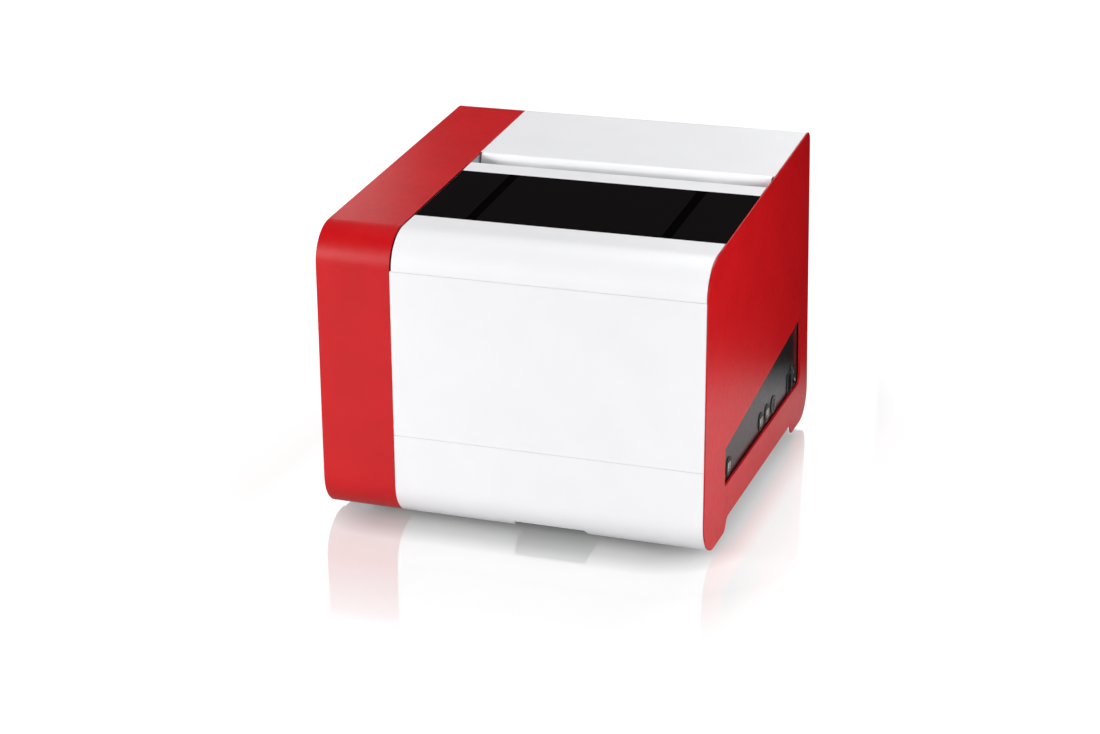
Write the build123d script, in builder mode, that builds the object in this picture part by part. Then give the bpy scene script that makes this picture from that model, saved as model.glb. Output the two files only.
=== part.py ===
from build123d import *
import os
from math import cos, radians, sin, tan

os.makedirs("parts", exist_ok=True)

# A benchtop microarray analyzer in millimetres. +X is to the right as seen from the front, +Y runs back,
# +Z is up. The origin is on the table, under the middle of the machine.
# x is measured from the middle, d back from the front face, and h up from the side panels' lowest edge.

# Overall size and outline of the body, seen from the side
width = 482.0
front_height = 358.0  # to the sharp corner that the front bend rounds off
top_depth = 486.0  # front face to the sharp rear top corner
roof_slope = 5.3  # degrees: the roof rises to the rear, and the rear face is square to it
front_radius = 45.0
rear_top_radius = 14.0
rear_bottom_radius = 36.0
foot_drop = 8.0  # feet below the side panels

# Side panels and their raised belly between two lobes
side_thickness = 1.5
front_lobe_end = 94.0
rear_lobe_start = top_depth - 54.0
lobe_run = 9.0
belly_height = 15.5
lobe_radius = 12.0

# Painted sheet covers
sheet = 2.0
wrap_width = 94.0
front_return_end = 54.0  # how far the front sheets reach under the body
rear_return_end = top_depth - 16.0
return_top = 54.0  # height above which the wrap has no return under it
cover_gap = 0.4  # between fixed covers side by side
seam_gap = 0.4  # between panels one above the other
hood_seam = 317.0
drawer_seam = 111.0
rear_seam = 362.0
return_depth = 14.0
bend_relief = 3.0  # cut from the ends of the nose

# Hood, its glass and its hinge
hood_gap = 2.5  # to the wrap
hood_side_gap = 0.8  # to the right side panel
hood_thickness = 3.0
glass_front = 77.0
glass_rear = 236.0
hood_rear = 266.0
glass_thickness = 2.9
glass_gap = 0.3
frame_depth = 8.0
window_margin = 8.0
lip_depth = 15.0
arm_width = 12.0
arm_spacing = 242.0
hinge_d = 281.0
hinge_drop = 18.0
hinge_radius = 8.0
pin_radius = 3.0
running_fit = 0.05
ear_thickness = 4.0
ear_gap = 0.4
nose_d = 299.0
nose_radius = 8.0

# Chassis
plate = 2.0
frame_drop = 26.0
rear_inset = 4.0
rim_height = 14.0
tray_front = 20.0
tray_rear = top_depth + 14.0
deck_h = 168.0
deck_thickness = 3.0
deck_front = 22.0
deck_rear = top_depth - 8.0
divider_x = width / 2 - 44.0  # left face of the wall between the drawer and the connector duct
divider_front = 40.0
divider_rear = top_depth - 16.0
divider_lip = 10.0
foot_radius = 15.0
spacer_radius = 11.0
foot_x = width / 2 - 47.0
front_foot_d = 76.0
rear_foot_d = top_depth - 41.0

# Drawer
finger_width = 100.0
finger_end_width = 88.0
finger_height = 14.0
drawer_tray_bottom = 24.0
drawer_tray_top = 102.0
drawer_tray_front = 8.0
drawer_tray_rear = top_depth - 86.0
runner_width = 6.0
runner_gap = 0.3
runner_low = 50.0
runner_high = 80.0
runner_rear = top_depth - 96.0
bin_right = divider_x - 156.0
bin_radius = 12.0
bin_wall = 2.0

# Connection recess in the right side panel
recess_front = 90.0
recess_rear = top_depth - 18.0
recess_bottom = 59.0
recess_front_top = 108.5
recess_rear_top = 153.0
recess_radius = 4.0
recess_foot_radius = 12.0
recess_depth = 4.4  # outer face to the connector plate
recess_edge = 3.0  # depth of its folded edge
connector_plate_thickness = 1.6
plate_margin = 6.0
connector_h = 74.0
socket_places = (122.0, 278.0, 310.0)
round_socket_d = 342.0
socket_radius = 12.0
socket_fit = 0.1
socket_length = 26.0
module_d = top_depth - 46.0
module_length = 46.0
module_height = 28.0
module_screw_pitch = 33.0
flange_thickness = 1.1  # under the side panel's edge
module_depth = 24.0
inlet_d = module_d - 10.0
inlet_half_length = 8.0
inlet_half_height = 12.0
inlet_depth = 17.0
inlet_bevel = 4.0
blade_length = 12.0
switch_d = module_d + 14.5
switch_half_width = 5.0
switch_half_height = 10.0
switch_angle = 9.0
pivot_radius = 1.5
pivot_depth = 6.0
pivot_reach = 0.9  # how far its ends stand in the cradle
rocker_gap = 0.3
screw_radius = 1.5
screw_head_radius = 2.8

# Deck modules: insets are from the work bay's left or right wall
rack_inset = 51.0
rack_height = 36.0
rack_margin = 6.0
bore_depth = 28.0
cell_pitch = 26.0
cell_radius = 8.0
cell_gap = 0.4
cell_height = 42.0
cartridge_width = 84.0
cartridge_length = 104.0
cartridge_d = 100.0
cartridge_shift = 6.0  # off the middle, so that the head passes down beside it
cartridge_height = 34.0
cartridge_wall = 6.0
cartridge_floor = 5.0
cup_height = 32.0
carousel_radius = 55.0
carousel_inset = 87.0
carousel_d = 118.0
carousel_thickness = 18.0
carousel_lift = 14.0
pocket_ring = 40.0
pocket_depth = 15.0
hub_radius = 11.0
hub_lift = 3.0
spindle_radius = 5.0
motor_size = 42.0
motor_length = 38.0
scanner_left = 42.0  # reach to each side of the carousel's axis
scanner_right = 72.0
scanner_gap = 33.0
scanner_length = 56.0
scanner_height = 66.0
fin_pitch = 8.0
fin_depth = 8.0
lens_radius = 13.0
lens_length = 26.0
beam_d = top_depth - 156.0
beam_width = 20.0
beam_wall = 3.0
beam_low = 286.0
beam_high = 326.0
rail_low = 290.0
rail_high = 302.0
rail_width = 8.0
belt_h = 314.0
pulley_radius = 6.0
pulley_flange = 1.5
belt_width = 5.0
belt_gap = 0.1
belt_thickness = 1.5
shaft_radius = 2.5
pulley_inset = 29.0
slide_gap = 0.3
arm_low = 304.0
arm_high = 324.0
carriage_half = 25.0
carriage_thickness = 16.0
arm_half = 10.0
arm_front = 80.0
slider_width = 18.0
slider_half = 22.0
head_bar = 12.0
head_inset = 125.0
head_d = 190.0
tip_low = 226.0
pump_inset = 59.0
pump_d = top_depth - 86.0
pump_width = 44.0
pump_height = 128.0
syringe_reach = 14.0
barrel_length = 44.0
piston_radius = 7.0
plunger_stroke = 30.0
fan_h = 258.0
fan_size = 80.0
fan_depth = 25.0
fan_bore = 38.0
blade_tip = 36.0
fan_hub = 14.0
blade_count = 7
guard_rings = (12.0, 20.0, 28.0, 36.0)
guard_wire = 2.4

# Electronics in the left bay
supply_gap = 6.0
supply_front = top_depth - 246.0
supply_rear = top_depth - 46.0
supply_height = 96.0
board_gap = 5.0
board_thickness = 1.6
board_front = 60.0
board_length = 170.0
board_low = 130.0
chip_thickness = 3.0

lean_sin, lean_cos, lean_tan = sin(radians(roof_slope)), cos(radians(roof_slope)), tan(radians(roof_slope))


def roof(d):
    """Height of the roof's outer face above the base line, at d behind the front face."""
    return front_height + d * lean_tan


def rear(h):
    """Distance of the rear's outer face behind the front face, at height h."""
    return top_depth + (roof(top_depth) - h) * lean_tan


rear_bend_d = top_depth + ((roof(top_depth) - rear_bottom_radius) * lean_sin - rear_bottom_radius) / lean_cos
overall_depth = rear_bend_d + rear_bottom_radius
front = -overall_depth / 2
base = foot_drop
left_x = -width / 2
right_x = width / 2
wrap_x = left_x + wrap_width  # right edge of the red wrap
panel_x = right_x - side_thickness  # inner face of the right side panel
cover_left, cover_right = wrap_x + cover_gap, panel_x - cover_gap
hood_left, hood_right = wrap_x + hood_gap, panel_x - hood_side_gap
bay_x = (wrap_x + panel_x) / 2
plate_x = right_x - recess_depth  # outer face of the connector plate
frame_left = wrap_x - plate  # left face of the left frame plate
frame_right = plate_x - connector_plate_thickness  # right face of the right frame plate
floor_h = belly_height + sheet
deck_top = deck_h + deck_thickness
hinge_h = roof(hinge_d) - hinge_drop
rack_x = wrap_x + rack_inset
rack_d = carousel_d - cell_pitch / 2  # so that one row of its bores is in line with the carousel's axis
rack_half = (3 * cell_pitch + rack_margin) / 2
carousel_x = panel_x - carousel_inset
cartridge_x = (rack_x + rack_half + carousel_x - carousel_radius) / 2 + cartridge_shift
drive_x, idler_x = wrap_x + pulley_inset, panel_x - pulley_inset
head_x = wrap_x + head_inset
pump_x = panel_x - pump_inset
fan_x = bay_x


def side_plane(x):
    """Plane square to X: sketches on it use (d, h), and it extrudes to the right."""
    return Plane(origin=(x, front, base), x_dir=(0, 1, 0), z_dir=(1, 0, 0))


def level_plane(h):
    """Level plane: sketches on it use (x, d), and it extrudes upwards."""
    return Plane(origin=(0, front, base + h), x_dir=(1, 0, 0), z_dir=(0, 0, 1))


def upright_plane(d):
    """Plane facing the front: sketches on it use (x, h), and it extrudes forwards."""
    return Plane(origin=(0, front + d, base), x_dir=(1, 0, 0), z_dir=(0, -1, 0))


def rear_plane(h, depth):
    """Plane along the leaning rear face, depth inside it at height h: it extrudes into the machine."""
    return Plane(
        origin=(0, front + rear(h) - depth * lean_cos, base + h - depth * lean_sin),
        x_dir=(1, 0, 0),
        z_dir=(0, -lean_cos, -lean_sin),
    )


def block(x, d, h, mode=Mode.ADD):
    """Box on the part being built, from its low and high ends along x, d and h."""
    with Locations((sum(x) / 2, front + sum(d) / 2, base + sum(h) / 2)):
        Box(x[1] - x[0], d[1] - d[0], h[1] - h[0], mode=mode)


def polygon(plane, points):
    """Face with straight sides on a plane."""
    with BuildSketch(plane) as face:
        with BuildLine():
            Polyline(*points, close=True)
        make_face()
    return face.sketch


def disc(plane, centre, radius):
    """Round face on a plane."""
    with BuildSketch(plane) as face:
        with Locations(centre):
            Circle(radius)
    return face.sketch


def slab(x, d, drop):
    """Side profile that runs parallel to the roof, between two drops below it."""
    (near, far), (upper, lower) = d, drop
    return polygon(
        side_plane(x),
        [
            (near, roof(near) - lower),
            (far, roof(far) - lower),
            (far, roof(far) - upper),
            (near, roof(near) - upper),
        ],
    )


def skin(x, thickness, region):
    """Side profile of a sheet that follows the body's outline, kept inside a region of (d, h) points."""
    with BuildSketch(side_plane(x)) as strip:
        with BuildLine():
            FilletPolyline(
                (0, 0),
                (0, front_height),
                (top_depth, roof(top_depth)),
                (rear(0), 0),
                radius=[front_radius, front_radius, rear_top_radius, rear_bottom_radius],
                close=True,
            )
        make_face()
        offset(amount=-thickness, mode=Mode.SUBTRACT)
        with BuildLine():
            Polyline(*region, close=True)
        make_face(mode=Mode.INTERSECT)
    return strip.sketch


def side_outline(x, inset=0.0):
    """Side profile of a side panel, with lobes front and rear and a raised belly between them."""
    with BuildSketch(side_plane(x)) as outline:
        with BuildLine():
            FilletPolyline(
                (0, 0),
                (0, front_height),
                (top_depth, roof(top_depth)),
                (rear(0), 0),
                (rear_lobe_start, 0),
                (rear_lobe_start - lobe_run, belly_height),
                (front_lobe_end + lobe_run, belly_height),
                (front_lobe_end, 0),
                radius=[front_radius, front_radius, rear_top_radius, rear_bottom_radius] + [lobe_radius] * 4,
                close=True,
            )
        make_face()
        if inset > 0:
            offset(amount=-inset)
    return outline.sketch


def recess_outline(x, margin=0.0):
    """Side profile of the connection recess, whose top edge rises to the rear."""
    rear_foot = recess_rear + (recess_rear_top - recess_bottom) * lean_tan
    with BuildSketch(side_plane(x)) as outline:
        with BuildLine():
            FilletPolyline(
                (recess_front, recess_bottom),
                (recess_front, recess_front_top),
                (recess_rear, recess_rear_top),
                (rear_foot, recess_bottom),
                radius=[recess_radius, recess_radius, recess_radius, recess_foot_radius],
                close=True,
            )
        make_face()
        if margin > 0:
            offset(amount=margin)
    return outline.sketch


top = roof(top_depth) + 50.0  # clear of the body, for regions that reach outside it
far = rear(0) + 50.0
out = -50.0

# Red wrap over the left end: front, roof and rear in one bent sheet, open under the belly
with BuildPart() as left_wrap:
    wrap_region = [
        (out, out), (front_return_end, out), (front_return_end, return_top), (rear_return_end, return_top),
        (rear_return_end, out), (far, out), (far, top), (out, top),
    ]
    extrude(skin(left_x, sheet, wrap_region), amount=wrap_width)

# Flat red panel that closes the wrap's left end
with BuildPart() as left_side_panel:
    extrude(side_outline(left_x, sheet), amount=side_thickness)

# Flat red panel on the right, with the connection recess cut through it and its edge folded inwards
with BuildPart() as right_side_panel:
    extrude(side_outline(panel_x), amount=side_thickness)
    fold_x = right_x - recess_edge
    extrude(recess_outline(fold_x, side_thickness), amount=panel_x - fold_x)
    extrude(recess_outline(fold_x), amount=recess_edge, mode=Mode.SUBTRACT)

# White front panel between the hood and the drawer, with returns on four sides
with BuildPart() as front_panel:
    low, high = drawer_seam + seam_gap / 2, hood_seam - seam_gap / 2
    panel_region = [(out, low), (20, low), (20, high), (out, high)]
    extrude(skin(cover_left, sheet, panel_region), amount=cover_right - cover_left)
    for edge in (cover_left, cover_right - sheet):
        block((edge, edge + sheet), (sheet, return_depth), (low, high))
    for edge in (low, high - sheet):
        block((cover_left, cover_right), (sheet, return_depth), (edge, edge + sheet))

# White rear cover: its rounded nose turns down in front, and its rear edge over the rear face
with BuildPart() as rear_cover:
    with BuildSketch(side_plane(cover_left)) as cover_profile:
        with BuildLine():
            FilletPolyline(
                (nose_d, rear_seam - 60),
                (nose_d, roof(nose_d)),
                (top_depth, roof(top_depth)),
                (rear(rear_seam - 60), rear_seam - 60),
                radius=[0, nose_radius, rear_top_radius, 0],
                close=True,
            )
        make_face()
        offset(amount=-sheet, mode=Mode.SUBTRACT)
        with BuildLine():
            Polyline((out, rear_seam), (far, rear_seam), (far, top), (out, top), close=True)
        make_face(mode=Mode.INTERSECT)
    extrude(amount=cover_right - cover_left)
    return_d = (nose_d + nose_radius, top_depth - 2 * rear_top_radius)
    for edge in (cover_left, cover_right - sheet):
        extrude(slab(edge, return_d, (sheet, frame_drop + 2)), amount=sheet)
    for end in (cover_left, cover_right - bend_relief):
        block((end, end + bend_relief), (nose_d, nose_d + nose_radius - 1), (rear_seam, top), mode=Mode.SUBTRACT)

# White rear panel with its lower bend, vent slots, fan opening and side returns
with BuildPart() as rear_panel:
    low, high = out, rear_seam - seam_gap / 2
    rear_region = [
        (rear_return_end, out),
        (rear_return_end, 60),
        (rear_return_end - 30, 60),
        (rear_return_end - 30, high),
        (far, high),
        (far, out),
    ]
    extrude(skin(cover_left, sheet, rear_region), amount=cover_right - cover_left)
    for edge in (cover_left, cover_right - sheet):
        corner = [
            (rear(70), 70),
            (rear(high), high),
            (rear(high) - return_depth, high),
            (rear(70) - return_depth, 70),
        ]
        lip = [(d - sheet / 2, h) for d, h in corner]
        extrude(polygon(side_plane(edge), lip), amount=sheet)
    extrude(disc(rear_plane(fan_h, -1), (fan_x, 0), fan_bore), amount=sheet + 2, mode=Mode.SUBTRACT)
    with BuildSketch(upright_plane(far)) as vent_slots:
        with Locations((bay_x, 150)):
            with GridLocations(14, 0, 16, 1):
                SlotOverall(70, 5, rotation=90)
    extrude(amount=far - rear(0) + 60, mode=Mode.SUBTRACT)

# Chassis tray with turned-up rims
with BuildPart() as base_tray:
    tray_left, tray_right = left_x + side_thickness, panel_x
    block((tray_left, tray_right), (tray_front, tray_rear), (belly_height, floor_h))
    for edge in (tray_left, tray_right - sheet):
        block((edge, edge + sheet), (front_radius, tray_rear - 12), (floor_h, floor_h + rim_height))
    rear_rim_d = (tray_rear - sheet, tray_rear)
    block((tray_left + sheet, tray_right - sheet), rear_rim_d, (floor_h, floor_h + rim_height))
    with BuildSketch(level_plane(belly_height)) as tray_vents:
        with Locations((left_x + 45, 330)):
            with GridLocations(0, 12, 1, 10):
                SlotOverall(50, 5)
    extrude(amount=sheet, mode=Mode.SUBTRACT)

# Four grey feet: a spacer under the tray and a rounded rubber shoe
with BuildPart() as feet:
    for foot_d in (front_foot_d, rear_foot_d):
        with BuildSketch(level_plane(-foot_drop)) as shoes:
            with Locations((-foot_x, foot_d), (foot_x, foot_d)):
                Circle(foot_radius)
        extrude(amount=foot_drop + 4)
        with BuildSketch(level_plane(4)) as spacers:
            with Locations((-foot_x, foot_d), (foot_x, foot_d)):
                Circle(spacer_radius)
        extrude(amount=belly_height - 4)
    fillet(feet.edges().group_by(Axis.Z)[0], 2.0)


def frame_outline(x):
    """Side profile of a frame plate, clear of the covers all round."""
    rear_top = rear_inset + frame_drop
    return polygon(
        side_plane(x),
        [
            (return_depth, floor_h + 30),
            (return_depth, hood_seam - 22),
            (front_radius, roof(front_radius) - frame_drop),
            (top_depth - rear_inset - 6, roof(top_depth - rear_inset - 6) - frame_drop),
            (rear(rear_top + 300) - rear_inset, rear_top + 300),
            (rear(floor_h + 40) - rear_inset, floor_h + 40),
            (tray_rear - 6, floor_h + rim_height + 2),
            (tray_rear - 6, floor_h),
            (tray_front + 6, floor_h),
        ],
    )


# Steel plates that carry everything, either side of the work bay
with BuildPart() as left_frame_plate:
    extrude(frame_outline(frame_left), amount=plate)
    under_wrap = (front_radius, top_depth - rear_top_radius - sheet)
    extrude(slab(frame_left, under_wrap, (sheet + seam_gap, frame_drop)), amount=plate)
    with BuildSketch(side_plane(frame_left)) as cable_holes:
        with Locations((top_depth - 36, 60), (top_depth - 36, 330), (60, 70)):
            SlotOverall(46, 20)
    extrude(amount=plate, mode=Mode.SUBTRACT)
    with BuildSketch(side_plane(frame_left - board_gap)) as board_posts:
        with Locations((board_front + board_length / 2, board_low + board_length / 2)):
            with GridLocations(board_length - 20, board_length - 20, 2, 2):
                Circle(3.5)
    extrude(amount=board_gap)

with BuildPart() as right_frame_plate:
    extrude(frame_outline(frame_right - plate), amount=plate)
    with BuildSketch(side_plane(frame_right - plate)) as connector_cuts:
        with Locations(*[(d, connector_h) for d in socket_places + (round_socket_d,)]):
            Circle(socket_radius + 1)
        with Locations((module_d, connector_h)):
            Rectangle(module_length + 6, module_height + 14)
    extrude(amount=plate, mode=Mode.SUBTRACT)

# Wall between the drawer and the duct behind the connectors
with BuildPart() as bay_divider:
    divider_d = (divider_front, divider_rear)
    lip_x = (divider_x + plate, divider_x + plate + divider_lip)
    block((divider_x, divider_x + plate), divider_d, (floor_h, deck_h))
    block(lip_x, divider_d, (floor_h, floor_h + plate))
    block(lip_x, divider_d, (deck_h - plate, deck_h))

# Deck that the modules stand on
with BuildPart() as deck_plate:
    block((wrap_x, frame_right - plate), (deck_front, deck_rear), (deck_h, deck_top))
    with BuildSketch(level_plane(deck_h)) as deck_cuts:
        with Locations((carousel_x, carousel_d)):
            Circle(spindle_radius + 7)
        with Locations((wrap_x + 87, 245)):
            RectangleRounded(44, 44, 6)
        with Locations((bay_x, deck_rear - 23)):
            with GridLocations(34, 0, 8, 1):
                SlotOverall(24, 10)
    extrude(amount=deck_thickness, mode=Mode.SUBTRACT)

# Cross beam under the gap behind the hood, with a forked ear for each hood arm
beam_under = hinge_h - hinge_drop - 12
with BuildPart() as hinge_beam:
    block((wrap_x, frame_right - plate), (hinge_d - 11, hinge_d + 11), (beam_under, beam_under + 12))
    for arm_x in (bay_x - arm_spacing / 2, bay_x + arm_spacing / 2):
        for ear_x in (arm_x - arm_width / 2 - ear_gap - ear_thickness, arm_x + arm_width / 2 + ear_gap):
            with BuildSketch(side_plane(ear_x)) as ear:
                with Locations((hinge_d, hinge_h)):
                    Circle(hinge_radius)
                with Locations((hinge_d, (hinge_h + beam_under + 12) / 2)):
                    Rectangle(2 * hinge_radius, hinge_h - beam_under - 12)
                with Locations((hinge_d, hinge_h)):
                    Circle(pin_radius + running_fit / 2, mode=Mode.SUBTRACT)
            extrude(amount=ear_thickness)

with BuildPart() as hinge_pins:
    for arm_x in (bay_x - arm_spacing / 2, bay_x + arm_spacing / 2):
        pin_x = arm_x - arm_width / 2 - ear_gap - ear_thickness
        pin_length = arm_width + 2 * (ear_gap + ear_thickness)
        extrude(disc(side_plane(pin_x), (hinge_d, hinge_h), pin_radius), amount=pin_length)
        extrude(disc(side_plane(pin_x - 1.5), (hinge_d, hinge_h), pin_radius + 2), amount=1.5)

# Rubber bumpers on the frame plates that the closed hood rests on
with BuildPart() as hood_bumpers:
    bumper_d = (front_radius + 20, front_radius + 32)
    extrude(slab(wrap_x, bumper_d, (lip_depth + glass_gap, frame_drop + 8)), amount=7)
    extrude(slab(frame_right - plate - 4, bumper_d, (lip_depth + glass_gap, frame_drop + 8)), amount=4)
    extrude(slab(frame_right - plate, bumper_d, (lip_depth + glass_gap, frame_drop)), amount=plate + 3)

# White hood: bent front, rear strip and the frame under the glass
with BuildPart() as hood_frame:
    hood_width = hood_right - hood_left
    front_low = hood_seam + seam_gap / 2
    front_region = [(out, front_low), (glass_front, front_low), (glass_front, top), (out, top)]
    strip_region = [(glass_rear, hood_seam), (hood_rear, hood_seam), (hood_rear, top), (glass_rear, top)]
    extrude(skin(hood_left, hood_thickness, front_region), amount=hood_width)
    extrude(skin(hood_left, hood_thickness, strip_region), amount=hood_width)
    extrude(slab(hood_left, (front_radius + 8, hood_rear), (hood_thickness, frame_depth)), amount=hood_width)
    lip_d = (front_radius + 8, hood_rear - 2)
    for lip_x in (hood_left, hood_right - hood_thickness):
        extrude(slab(lip_x, lip_d, (hood_thickness, lip_depth)), amount=hood_thickness)
    window_d = (glass_front + window_margin, glass_rear - window_margin)
    window = slab(hood_left + window_margin, window_d, (-5, frame_depth + 5))
    extrude(window, amount=hood_width - 2 * window_margin, mode=Mode.SUBTRACT)

# Smoked glass, flush in the hood from side to side
with BuildPart() as hood_glass:
    glass_d = (glass_front + glass_gap, glass_rear - glass_gap)
    extrude(slab(hood_left, glass_d, (0, glass_thickness)), amount=hood_width)


def hood_arm(edge):
    """Profiles of a hood arm: a bar under the glass, one under the rear strip, and the bar to its eye."""
    glass_bar_d = (glass_front + window_margin + 2, glass_rear - window_margin - 2)
    return [
        slab(edge, glass_bar_d, (glass_thickness + 0.3, 14)),
        slab(edge, (glass_rear - 40, hood_rear - 1), (frame_depth, hinge_drop + 1)),
        slab(edge, (hood_rear - 6, hinge_d), (frame_depth + 3, hinge_drop + 6)),
        disc(side_plane(edge), (hinge_d, hinge_h), hinge_radius),
    ]


with BuildPart() as hood_arm_left:
    left_arm_x = bay_x - arm_spacing / 2 - arm_width / 2
    for profile in hood_arm(left_arm_x):
        extrude(profile, amount=arm_width)
    eye = disc(side_plane(left_arm_x), (hinge_d, hinge_h), pin_radius + running_fit)
    extrude(eye, amount=arm_width, mode=Mode.SUBTRACT)

with BuildPart() as hood_arm_right:
    right_arm_x = bay_x + arm_spacing / 2 - arm_width / 2
    for profile in hood_arm(right_arm_x):
        extrude(profile, amount=arm_width)
    eye = disc(side_plane(right_arm_x), (hinge_d, hinge_h), pin_radius + running_fit)
    extrude(eye, amount=arm_width, mode=Mode.SUBTRACT)

# Drawer front: lower white panel with the bottom bend, a top return and the finger cut-out
with BuildPart() as drawer_front:
    low, high = out, drawer_seam - seam_gap / 2
    drawer_region = [
        (out, out),
        (front_return_end, out),
        (front_return_end, return_top),
        (30, return_top),
        (30, high),
        (out, high),
    ]
    extrude(skin(cover_left, sheet, drawer_region), amount=cover_right - cover_left)
    block((cover_left, cover_right), (sheet, drawer_tray_front + sheet), (high - sheet, high))
    for edge in (cover_left, cover_right - sheet):
        block((edge, edge + sheet), (sheet, drawer_tray_front), (front_radius, high - sheet))
    finger = [
        (bay_x - finger_width / 2, out), (bay_x + finger_width / 2, out),
        (bay_x + finger_width / 2, 0), (bay_x + finger_end_width / 2, finger_height),
        (bay_x - finger_end_width / 2, finger_height), (bay_x - finger_width / 2, 0),
    ]
    finger_plane = upright_plane(front_return_end + 1)
    extrude(polygon(finger_plane, finger), amount=front_return_end + 5, mode=Mode.SUBTRACT)

# Drawer tray and its runners
tray_x = (wrap_x + 2 * runner_width + runner_gap, divider_x - 2 * runner_width - runner_gap)
with BuildPart() as drawer_tray:
    block(tray_x, (drawer_tray_front, drawer_tray_rear), (drawer_tray_bottom, drawer_tray_top))
    inside = (tray_x[0] + plate, tray_x[1] - plate)
    inside_d = (drawer_tray_front + plate, drawer_tray_rear - plate)
    block(inside, inside_d, (drawer_tray_bottom + plate, drawer_tray_top), mode=Mode.SUBTRACT)
    front_wall_h = (drawer_tray_top, drawer_seam - seam_gap / 2 - sheet)
    block(tray_x, (drawer_tray_front, drawer_tray_front + plate), front_wall_h)


def runner(x, d, h, channel_side):
    """Runner bar with a shallow channel along the side that faces its mate."""
    block(x, d, h)
    middle, third = sum(h) / 2, (h[1] - h[0]) / 3
    depth = (x[1] - x[0]) / 3
    span = (x[1] - depth, x[1]) if channel_side > 0 else (x[0], x[0] + depth)
    block(span, d, (middle - third / 2, middle + third / 2), mode=Mode.SUBTRACT)


runner_h = (runner_low, runner_high)
rail_h = (runner_low + 6, runner_high - 6)
with BuildPart() as runner_left:
    runner((wrap_x, wrap_x + runner_width), (30, runner_rear), runner_h, 1)
with BuildPart() as runner_right:
    runner((divider_x - runner_width, divider_x), (44, runner_rear), runner_h, -1)
with BuildPart() as drawer_rail_left:
    runner((wrap_x + runner_width + runner_gap, tray_x[0]), (drawer_tray_front, runner_rear), rail_h, -1)
with BuildPart() as drawer_rail_right:
    runner((tray_x[1], divider_x - runner_width - runner_gap), (drawer_tray_front, runner_rear), rail_h, 1)

# Waste bin that lifts out of the drawer
with BuildPart() as waste_bin:
    bin_x = (inside[0] + bin_wall, bin_right)
    bin_d = (drawer_tray_front + plate + bin_wall, drawer_tray_rear - plate - 40)
    bin_h = (drawer_tray_bottom + plate, drawer_tray_top - 6)
    block(bin_x, bin_d, bin_h)
    fillet(waste_bin.edges().filter_by(Axis.Z), bin_radius)
    offset(amount=-bin_wall, openings=waste_bin.faces().sort_by(Axis.Z)[-1])

# Connector plate behind the recess, with its openings
with BuildPart() as connector_plate:
    extrude(recess_outline(frame_right, plate_margin), amount=connector_plate_thickness)
    with BuildSketch(side_plane(frame_right)) as socket_cuts:
        with Locations(*[(d, connector_h) for d in socket_places + (round_socket_d,)]):
            Circle(socket_radius + socket_fit)
        with Locations((module_d, connector_h)):
            Rectangle(module_length - 2 + socket_fit, module_height - 2 + socket_fit)
    extrude(amount=connector_plate_thickness, mode=Mode.SUBTRACT)

socket_face = plate_x + 1.0


def socket_body(centre):
    """Faces of a data socket: its round body, the square mouth and the tongue in it."""
    with BuildSketch(side_plane(socket_face - 12)) as mouth_face:
        with Locations(centre):
            RectangleRounded(13, 12, 1.5)
    with BuildSketch(side_plane(socket_face - 12)) as tongue_face:
        with Locations(centre):
            Rectangle(6, 3)
    body_face = disc(side_plane(socket_face - socket_length), centre, socket_radius)
    return body_face, mouth_face.sketch, tongue_face.sketch


# Three round data sockets
with BuildPart() as data_socket_front:
    body_face, mouth_face, tongue_face = socket_body((socket_places[0], connector_h))
    extrude(body_face, amount=socket_length)
    extrude(mouth_face, amount=12, mode=Mode.SUBTRACT)
    extrude(tongue_face, amount=5)

with BuildPart() as data_socket_middle:
    body_face, mouth_face, tongue_face = socket_body((socket_places[1], connector_h))
    extrude(body_face, amount=socket_length)
    extrude(mouth_face, amount=12, mode=Mode.SUBTRACT)
    extrude(tongue_face, amount=5)

with BuildPart() as data_socket_rear:
    body_face, mouth_face, tongue_face = socket_body((socket_places[2], connector_h))
    extrude(body_face, amount=socket_length)
    extrude(mouth_face, amount=12, mode=Mode.SUBTRACT)
    extrude(tongue_face, amount=5)

# Round supply socket with pins in a deep bore
with BuildPart() as round_socket:
    centre = (round_socket_d, connector_h)
    extrude(disc(side_plane(socket_face - socket_length), centre, socket_radius), amount=socket_length)
    extrude(disc(side_plane(socket_face - 10), centre, socket_radius - 3), amount=10, mode=Mode.SUBTRACT)
    with BuildSketch(side_plane(socket_face - 10)) as pins:
        with Locations(centre):
            with PolarLocations(4.5, 5, start_angle=90):
                Circle(1)
    extrude(amount=7)

flange_face = plate_x + flange_thickness
rocker_x = flange_face - pivot_depth
pivot_half = switch_half_width + pivot_reach
rocker_half = switch_half_width - rocker_gap


def rocker_plane(reach, tilt=0.0):
    """Plane on the rocker's axis, a reach behind its middle and tipped by an angle: it extrudes forwards."""
    return Plane(
        origin=(rocker_x, front + switch_d + reach, base + connector_h),
        x_dir=(cos(radians(tilt)), 0, sin(radians(tilt))),
        z_dir=(0, -1, 0),
    )


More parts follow.
